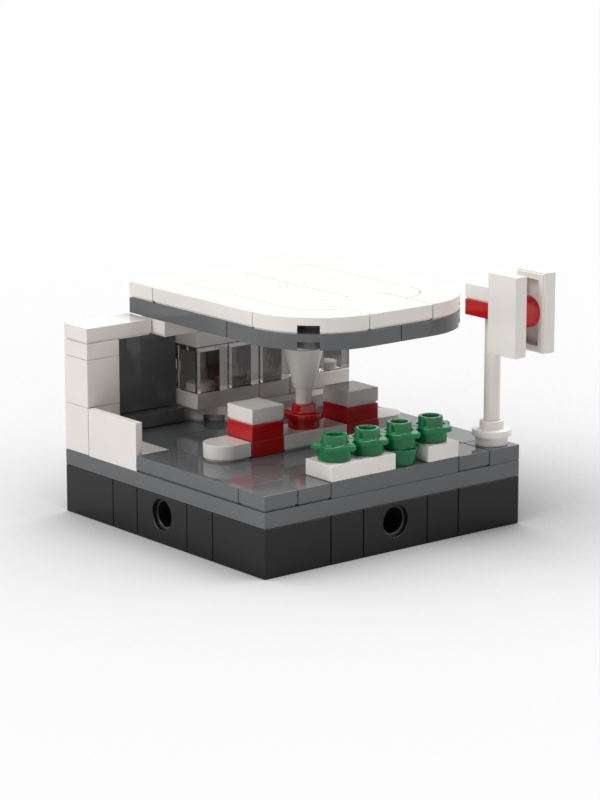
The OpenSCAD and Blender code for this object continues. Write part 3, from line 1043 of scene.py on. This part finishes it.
# %% The forecourt
mould(tile, "floor_corner_tile", "floor_edge_tiles", "floor_front_tiles", "floor_drive_tile_front",
      "floor_drive_tile_rear", "floor_rear_single_tile", "floor_rear_tile")
mould(studded, "floor_front_plate", "floor_sign_plate", "floor_island_plate",
      "floor_bracket_plate", "floor_wall_plate_narrow")
mould(wall_foot_plate, "floor_wall_plate_wide")
print("with the forecourt:", len(made_pieces), "pieces")

# %% Planters and flowers
mould(studded, "planter_plate_long", "planter_plate_short")
mould(flower, "flower_1", "flower_2", "flower_3", "flower_4")
mould(low_flower, "flower_low")

# %% Pumps, column and their island
mould(island_end, "island_end_tiles")
mould(jumper, "island_jumper")
mould(studded, "pump_lower_plates", "pump_upper_plates")
mould(tile, "pump_heads")
mould(round_plate, "column_foot", "sign_foot")
mould(cone, "column_cone")
mould(cone_cap, "column_cap")

# %% The sign
mould(pole, "sign_pole")
mould(ring_plate, "sign_ring_plate")
mould(tile, "sign_top_tile")
mould(sign_board, "sign_boards")
mould(sleeve, "sign_sleeve")

# %% The walls
mould(studded, "corner_post_lower", "corner_post_upper", "corner_post_plate", "sill_long_plates",
      "sill_short_plate", "header_plates")
mould(tile, "corner_post_tile")
mould(low_panel, "low_panel")
mould(bracket, "bracket")
mould(wall_tile, "upright_tile")
mould(wall_corner, "wall_corner_tile")
mould(jumper, "wall_jumpers", "beam_jumpers")
mould(clear_brick, "glass_bricks")

# %% The roof
mould(roof_corner_plate, "roof_corner_plates")
mould(studded, "roof_rear_plate")
mould(curved_tile, "roof_curved_tiles")
mould(round_corner_tile, "roof_quarter_tiles")
mould(tile, "roof_square_tiles", "roof_side_tiles", "roof_rear_tile")
print("all:", len(made_pieces), "pieces,", count_faces(), "faces")

# %% [markdown]
# ## A white floor with a painted shadow
#
# The photograph has a white ground with a soft, dark shadow close to the base. More
# light would bleach the object too. So for the light that it sends back to the
# object the floor is an ordinary pale surface. For the camera, and a little dimmer in
# reflections, most of its brightness is a glow, and that glow carries a painted shadow:
# it fades where the object stands in the way of the open sky. That fading comes from
# the Ambient Occlusion node, raised to a power that grows towards the right, where the
# photograph's shadow is deeper. Only a small lit share keeps the lamps' own shadows.
# Behind several walls of clear plastic the photograph's ground looks dark, so it fades
# with each surface too.

# %% Floor
FLOOR_SIZE = 8.0
FLOOR_PALE = 0.69
FLOOR_SEEN_PALE = 0.7
# reach and depth of the floor's painted shadow, which is deeper towards +X
SHADOW_REACH = 0.3
SHADOW_DEPTH = 1.45
SHADOW_DEEPER = 1.45
DEEPER_FROM = 0.0
DEEPER_TO = 0.045
GLOW_SHARE = 0.9
MIRRORED = 0.7
KEPT_PER_SURFACE = 0.5


def clearness(nodes):
    """Falls with every surface of clear plastic that the ground is seen through."""
    crossed = nodes.add("ShaderNodeLightPath", output="Transmission Depth")
    return nodes.add("ShaderNodeMath", {"operation": "POWER"}, {0: KEPT_PER_SURFACE, 1: crossed})


deselect_all()
bpy.ops.mesh.primitive_plane_add(size=FLOOR_SIZE, location=(0, 0, 0))
floor = bpy.context.object
floor.name = "studio_floor"
floor_paint = bpy.data.materials.new("pale_floor")
floor_nodes = Nodes(floor_paint)
soft_ray = floor_nodes.add("ShaderNodeLightPath", output="Is Diffuse Ray")
mirror_ray = floor_nodes.add("ShaderNodeLightPath", output="Is Glossy Ray")
shown = (1 - soft_ray - mirror_ray * (1 - MIRRORED)) * clearness(floor_nodes)
# painted shadow: ambient occlusion darkens the glow near the object, instead of lamp light
open_sky = floor_nodes.add("ShaderNodeAmbientOcclusion", output="AO",
                           sockets={"Distance": SHADOW_REACH})
floor_place = floor_nodes.add("ShaderNodeTexCoord", output="Object")
across = floor_nodes.add("ShaderNodeSeparateXYZ", sockets={"Vector": floor_place})
# painted shadow made deeper towards +X by the floor's own X, not by a lamp
deeper_painted_shadow_right = floor_nodes.add("ShaderNodeMapRange", {"interpolation_type": "SMOOTHSTEP"}, {
    "Value": across, "From Min": DEEPER_FROM, "From Max": DEEPER_TO,
    "To Min": 0.0, "To Max": SHADOW_DEEPER})
paleness = soft_ray * FLOOR_PALE + shown * (FLOOR_SEEN_PALE * (1 - GLOW_SHARE))
pale = floor_nodes.add("ShaderNodeBsdfDiffuse", sockets={"Color": paleness})
# the glow seen by the camera and in reflections, which carries the painted shadow
glow_with_painted_shadow = floor_nodes.add("ShaderNodeEmission", sockets={
    "Strength": shown * GLOW_SHARE * open_sky ** (SHADOW_DEPTH + deeper_painted_shadow_right)})
lit = floor_nodes.add("ShaderNodeAddShader", sockets={0: pale, 1: glow_with_painted_shadow})
floor_nodes.add("ShaderNodeOutputMaterial", sockets={"Surface": lit})
floor.data.materials.append(floor_paint)

# %% [markdown]
# ## Light
#
# On the photograph's white pieces the tops are the brightest, the sides that face
# left come next and the fronts are clearly darker, while everything under the canopy
# lies in shade. That is a strong broad lamp high on the right, a weaker one on the
# left and a weak one in front; the pale floor throws the rest up onto the sides.
# Broad suns are used, whose light is the same all over the floor.

# %% World and lamps
LAMP_SPREAD = math.radians(45)
ROOM_LIGHT = 0.05

room = bpy.data.worlds.new("white_room")
bpy.context.scene.world = room
room_nodes = Nodes(room)
soft_ray = room_nodes.add("ShaderNodeLightPath", output="Is Diffuse Ray")
backdrop = room_nodes.add("ShaderNodeBackground", sockets={
    "Color": (1, 1, 1, 1), "Strength": (1 - soft_ray * (1 - ROOM_LIGHT)) * clearness(room_nodes)})
room_nodes.add("ShaderNodeOutputWorld", sockets={"Surface": backdrop})


def broad_lamp(name, towards, strength):
    deselect_all()
    bpy.ops.object.light_add(type="SUN", location=Vector(towards))
    lamp = bpy.context.object
    lamp.name = name
    lamp.data.angle = LAMP_SPREAD
    lamp.data.energy = math.pi * strength
    lamp.rotation_euler = Vector(towards).to_track_quat("Z", "Y").to_euler()


broad_lamp("high_right_lamp", (0.5, 0, 0.85), 0.92)
broad_lamp("left_lamp", (-0.75, 0.15, 0.66), 0.58)
broad_lamp("front_lamp", (-0.1, -0.6, 0.8), 0.12)

# %% Standard view of colours
bpy.context.scene.view_settings.view_transform = "Standard"
